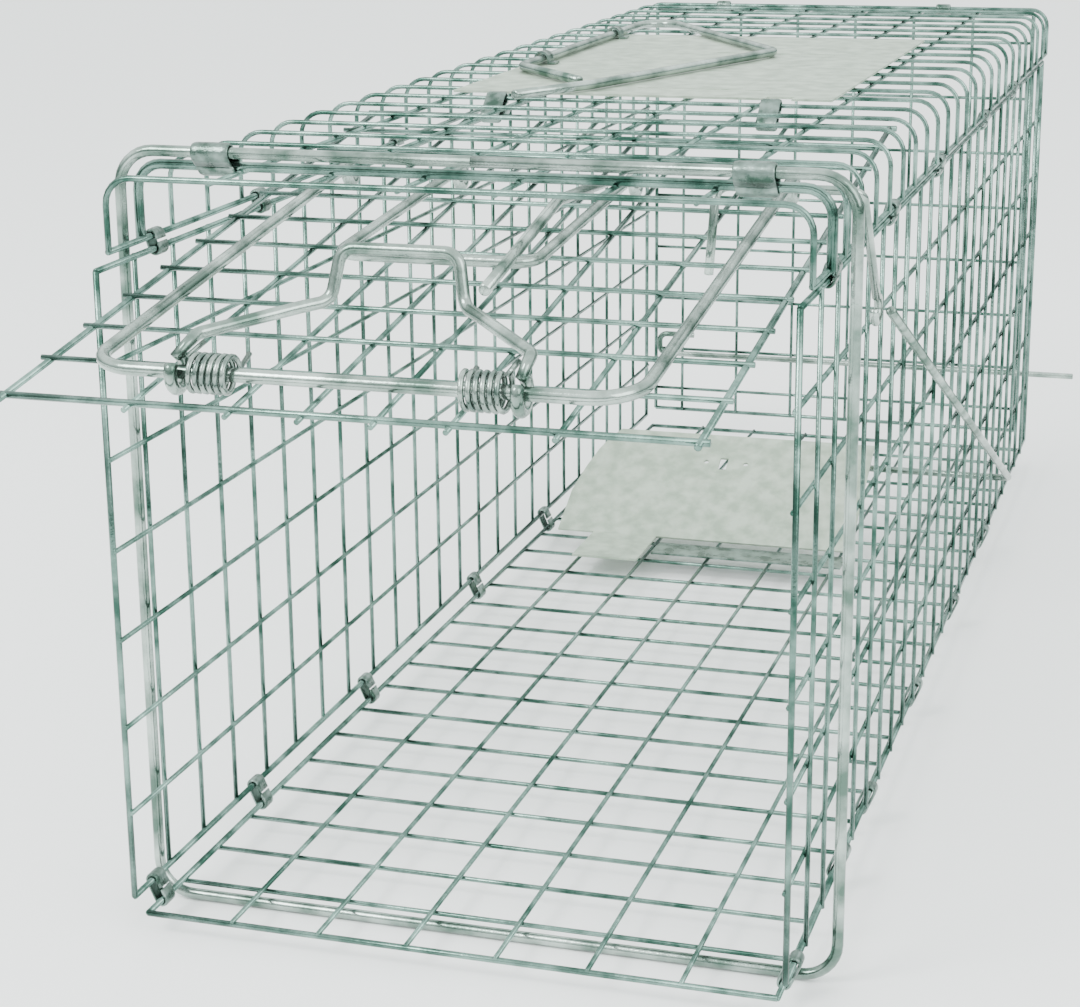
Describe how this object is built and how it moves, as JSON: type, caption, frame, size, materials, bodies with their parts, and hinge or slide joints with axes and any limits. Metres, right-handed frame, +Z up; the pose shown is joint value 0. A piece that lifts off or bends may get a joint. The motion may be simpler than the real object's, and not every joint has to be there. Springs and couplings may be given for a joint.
{
  "type": "live catch trap",
  "caption": "Folding wire mesh cage trap with a gravity drop door, treadle pan, trigger linkage and rear release panel.",
  "frame": {"origin": "underside of the brace ring's bottom bar, half way across the mouth of the trap", "axes": "+X to the right seen from the mouth, +Y from the mouth towards the rear along the cage, +Z up"},
  "size_m": [0.2976, 0.8957, 0.3078],
  "materials": {
    "galvanised_mesh": "galvanised, satin",
    "bright_wire": "zinc plated wire, semi bright",
    "clip_steel": "zinc plated, dull",
    "spring_steel": "drawn spring wire",
    "sheet_steel": "galvanised sheet with a fine spangle"
  },
  "bodies": {
    "base": {"floor_panel": "galvanised_mesh", "treadle_hinge_strip": "clip_steel", "floor_clip_left_1": "clip_steel", "floor_clip_left_2": "clip_steel", "floor_clip_left_3": "clip_steel", "floor_clip_left_4": "clip_steel", "floor_clip_left_5": "clip_steel", "floor_clip_right_1": "clip_steel", "floor_clip_right_2": "clip_steel", "floor_clip_right_3": "clip_steel", "floor_clip_right_4": "clip_steel", "floor_clip_right_5": "clip_steel", "floor_clip_right_6": "clip_steel"},
    "left_side": {"left_side_panel": "galvanised_mesh"},
    "right_side": {"right_side_panel": "galvanised_mesh"},
    "top": {"top_panel": "galvanised_mesh", "guard_plate": "sheet_steel", "ring_clip_left": "clip_steel", "ring_clip_right": "clip_steel", "door_hinge_clip_left": "clip_steel", "door_hinge_clip_right": "clip_steel", "rear_hinge_clip_left": "clip_steel", "rear_hinge_clip_right": "clip_steel", "handle_strap_front": "clip_steel", "handle_strap_rear": "clip_steel", "upper_clip_left_1": "clip_steel", "upper_clip_left_2": "clip_steel", "upper_clip_left_3": "clip_steel", "upper_clip_left_4": "clip_steel", "upper_clip_left_5": "clip_steel", "upper_clip_right_1": "clip_steel", "upper_clip_right_2": "clip_steel", "upper_clip_right_3": "clip_steel", "upper_clip_right_4": "clip_steel", "upper_clip_right_5": "clip_steel"},
    "ring": {"brace_ring": "bright_wire"},
    "rear_door": {"rear_panel": "galvanised_mesh"},
    "lock_rod": {"rear_lock_rod": "bright_wire"},
    "door": {"door_panel": "galvanised_mesh"},
    "bail": {"lock_bail": "bright_wire", "lock_frame": "bright_wire", "torsion_spring_left": "spring_steel", "torsion_spring_right": "spring_steel"},
    "squeeze": {"squeeze_handle": "bright_wire"},
    "treadle": {"treadle_pan": "sheet_steel"},
    "rod": {"trigger_rod": "bright_wire"},
    "trigger": {"trigger_hook": "bright_wire"},
    "carry": {"carry_handle": "bright_wire"}
  },
  "joints": [
    {"name": "fold", "type": "hinge", "parent": "base", "child": "left_side", "pos_m": [-0.13235, -0.033, 0.0167], "axis": [0, -1, 0], "range_deg": [0, 30]},
    {"name": "right_side_fold", "type": "hinge", "parent": "base", "child": "right_side", "pos_m": [0.12685, -0.033, 0.0167], "axis": [0, -1, 0], "range_deg": [0, 30]},
    {"name": "top_fold", "type": "hinge", "parent": "left_side", "child": "top", "pos_m": [-0.13235, -0.033, 0.2652], "axis": [0, -1, 0], "range_deg": [-30, 0]},
    {"name": "ring_swing", "type": "hinge", "parent": "top", "child": "ring", "pos_m": [0, 0, 0.3044], "axis": [-1, 0, 0], "range_deg": [0, 240]},
    {"name": "rear_door_swing", "type": "hinge", "parent": "top", "child": "rear_door", "pos_m": [-0.00475, 0.764, 0.2944], "axis": [1, 0, 0], "range_deg": [0, 110]},
    {"name": "lock_rod_slide", "type": "slide", "parent": "rear_door", "child": "lock_rod", "axis": [1, 0, 0], "range_m": [0, 0.24]},
    {"name": "door_drop", "type": "hinge", "parent": "top", "child": "door", "pos_m": [-0.00375, 0.22173, 0.29121], "axis": [-1, 0, 0], "range_deg": [-40.7, 0]},
    {"name": "bail_lift", "type": "hinge", "parent": "door", "child": "bail", "pos_m": [-0.00375, 0.12701, 0.27866], "axis": [-1, 0, 0], "range_deg": [0, 6]},
    {"name": "handle_squeeze", "type": "hinge", "parent": "bail", "child": "squeeze", "pos_m": [-0.00375, -0.11416, 0.24985], "axis": [1, 0, 0], "range_deg": [0, 30], "stiffness_Nm_per_rad": 0.03},
    {"name": "treadle_press", "type": "hinge", "parent": "base", "child": "treadle", "pos_m": [-0.02975, 0.489, 0.0134], "axis": [1, 0, 0], "range_deg": [-14, 0]},
    {"name": "rod_swing", "type": "hinge", "parent": "treadle", "child": "rod", "pos_m": [0.04125, 0.5635, 0.0434], "axis": [1, 0, 0], "range_deg": [0, 12]},
    {"name": "trigger_turn", "type": "hinge", "parent": "top", "child": "trigger", "pos_m": [0.10125, 0.048, 0.2914], "axis": [1, 0, 0], "range_deg": [0, 24]},
    {"name": "carry_handle_lift", "type": "hinge", "parent": "top", "child": "carry", "pos_m": [-0.08125, 0.367, 0.3036], "axis": [0, -1, 0], "range_deg": [0, 100]}
  ],
  "couplings": [
    {"joint": "right_side_fold", "follows": "fold", "ratio": 1},
    {"joint": "top_fold", "follows": "fold", "ratio": -1},
    {"joint": "ring_swing", "follows": "fold", "ratio": 8},
    {"joint": "rod_swing", "follows": "treadle_press", "ratio": -0.72},
    {"joint": "trigger_turn", "follows": "treadle_press", "ratio": -1.57}
  ]
}
